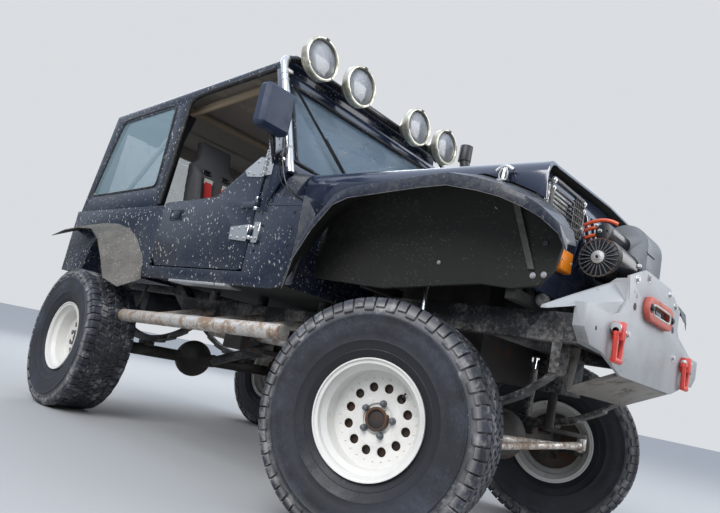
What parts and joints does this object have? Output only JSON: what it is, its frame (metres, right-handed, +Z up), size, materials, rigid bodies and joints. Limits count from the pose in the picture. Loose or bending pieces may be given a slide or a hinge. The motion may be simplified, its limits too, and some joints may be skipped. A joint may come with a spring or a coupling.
{
  "type": "lifted off-road 4x4",
  "caption": "Lifted short-wheelbase off-road car with half doors, hardtop, winch bumper, snorkel, roof lamps and steered front wheels.",
  "frame": {"origin": "on the floor under the middle of the vehicle", "axes": "+X towards the front, +Y to the vehicle's left, +Z up"},
  "size_m": [3.881, 2.017, 2.233],
  "materials": {
    "body_paint": "dark navy enamel under dried mud",
    "frame_paint": "black chassis paint, muddy",
    "flare_plastic": "grey-brown, caked with mud",
    "wheel_paint": "cream enamel, chipped",
    "tyre_rubber": "black, dusty",
    "bumper_paint": "light grey, scuffed",
    "bare_steel": "worn to bare steel",
    "polished_metal": "polished",
    "cast_metal": "cast, oily and rusty",
    "clear_lens": "clear",
    "amber_lens": "amber",
    "red_lens": "red",
    "tinted_glass": "greenish",
    "seat_cloth": "dark cloth",
    "dash_plastic": "dark grain",
    "cage_pad": "tan padding on tube",
    "red_paint": "red enamel",
    "trim_plastic": "black plastic"
  },
  "bodies": {
    "chassis": {"body_tub": "body_paint", "bow_shackles": "red_paint", "chassis_frame": "frame_paint", "dashboard": "dash_plastic", "engine_block": "cast_metal", "exhaust": "bare_steel", "fairlead": "red_paint", "front_axle": "cast_metal", "front_bumper": "bumper_paint", "front_fender_left": "body_paint", "front_fender_right": "body_paint", "front_seats": "seat_cloth", "fuel_tank": "trim_plastic", "gearbox": "cast_metal", "grille": "body_paint", "hardtop": "body_paint", "headlight_guards": "frame_paint", "headlights": "clear_lens", "hinge_brackets": "polished_metal", "leaf_springs": "frame_paint", "light_bar": "frame_paint", "mirrors": "trim_plastic", "propshafts": "frame_paint", "radiator": "frame_paint", "rear_axle": "cast_metal", "rear_bumper": "frame_paint", "rear_flares": "flare_plastic", "rock_sliders": "bare_steel", "roll_cage": "cage_pad", "roof_lamp_lenses": "clear_lens", "roof_lamps": "trim_plastic", "shock_absorbers": "frame_paint", "side_windows": "tinted_glass", "snorkel": "trim_plastic", "steering_wheel": "trim_plastic", "tail_lamps": "red_lens", "turn_signals": "amber_lens", "winch": "trim_plastic", "windshield_frame": "body_paint", "windshield_glass": "tinted_glass"},
    "knuckle_right": {"knuckle_right": "cast_metal"},
    "knuckle_left": {"knuckle_left": "cast_metal"},
    "tie_rod": {"tie_rod": "bare_steel"},
    "drag_link": {"drag_link": "bare_steel"},
    "pitman_arm": {"pitman_arm": "cast_metal"},
    "wheel_front_right": {"rim_front_right": "wheel_paint", "tyre_front_right": "tyre_rubber"},
    "wheel_front_left": {"rim_front_left": "wheel_paint", "tyre_front_left": "tyre_rubber"},
    "wheel_rear_right": {"rim_rear_right": "wheel_paint", "tyre_rear_right": "tyre_rubber"},
    "wheel_rear_left": {"rim_rear_left": "wheel_paint", "tyre_rear_left": "tyre_rubber"},
    "door_right": {"door_right": "body_paint"},
    "door_left": {"door_left": "body_paint"},
    "hood": {"hood": "body_paint"},
    "tailgate": {"tailgate": "body_paint"},
    "hatch": {"rear_hatch": "tinted_glass"}
  },
  "joints": [
    {"name": "steer_right", "type": "hinge", "parent": "chassis", "child": "knuckle_right", "pos_m": [1.25, -0.7, 0.412], "axis": [0, 0, 1], "range_deg": [-47.5, 9.5]},
    {"name": "steer_left", "type": "hinge", "parent": "chassis", "child": "knuckle_left", "pos_m": [1.25, 0.7, 0.412], "axis": [0, 0, 1], "range_deg": [-47.5, 9.5]},
    {"name": "pitman_swing", "type": "hinge", "parent": "chassis", "child": "pitman_arm", "pos_m": [1.45, 0.2, 0.48], "axis": [0, 0, 1], "range_deg": [-47.5, 9.5]},
    {"name": "drag_link_pivot", "type": "hinge", "parent": "knuckle_right", "child": "drag_link", "pos_m": [1.36095, -0.59834, 0.347], "axis": [0, 0, 1], "range_deg": [-9.5, 47.5]},
    {"name": "tie_rod_pivot", "type": "hinge", "parent": "knuckle_right", "child": "tie_rod", "pos_m": [1.36095, -0.59834, 0.409], "axis": [0, 0, 1], "range_deg": [-11.36, 52.77]},
    {"name": "wheel_spin_front_right", "type": "hinge", "parent": "knuckle_right", "child": "wheel_front_right", "pos_m": [1.26628, -0.74728, 0.412], "axis": [0.3256, -0.9455, 0], "continuous": true},
    {"name": "wheel_spin_front_left", "type": "hinge", "parent": "knuckle_left", "child": "wheel_front_left", "pos_m": [1.23372, 0.74728, 0.412], "axis": [-0.3256, 0.9455, 0], "continuous": true},
    {"name": "wheel_spin_rear_right", "type": "hinge", "parent": "chassis", "child": "wheel_rear_right", "pos_m": [-1.123, -0.815, 0.412], "axis": [0, -1, 0], "continuous": true},
    {"name": "wheel_spin_rear_left", "type": "hinge", "parent": "chassis", "child": "wheel_rear_left", "pos_m": [-1.123, 0.815, 0.412], "axis": [0, 1, 0], "continuous": true},
    {"name": "door_right_hinge", "type": "hinge", "parent": "chassis", "child": "door_right", "pos_m": [0.29, -0.775, 1.167], "axis": [0, 0, 1], "range_deg": [0, 65]},
    {"name": "door_left_hinge", "type": "hinge", "parent": "chassis", "child": "door_left", "pos_m": [0.29, 0.775, 1.167], "axis": [0, 0, -1], "range_deg": [0, 65]},
    {"name": "hood_hinge", "type": "hinge", "parent": "chassis", "child": "hood", "pos_m": [0.449, 0, 1.484], "axis": [0, -1, 0], "range_deg": [0, 55]},
    {"name": "tailgate_hinge", "type": "hinge", "parent": "chassis", "child": "tailgate", "pos_m": [-1.888, -0.463, 1.11], "axis": [0, 0, 1], "range_deg": [0, 95]},
    {"name": "hatch_hinge", "type": "hinge", "parent": "chassis", "child": "hatch", "pos_m": [-1.84838, 0, 1.954], "axis": [0, 1, 0], "range_deg": [0, 85]}
  ],
  "couplings": [
    {"joint": "steer_left", "follows": "steer_right", "ratio": 1},
    {"joint": "pitman_swing", "follows": "steer_right", "ratio": 1},
    {"joint": "drag_link_pivot", "follows": "steer_right", "ratio": -1},
    {"joint": "tie_rod_pivot", "follows": "steer_right", "ratio": -1.09}
  ]
}
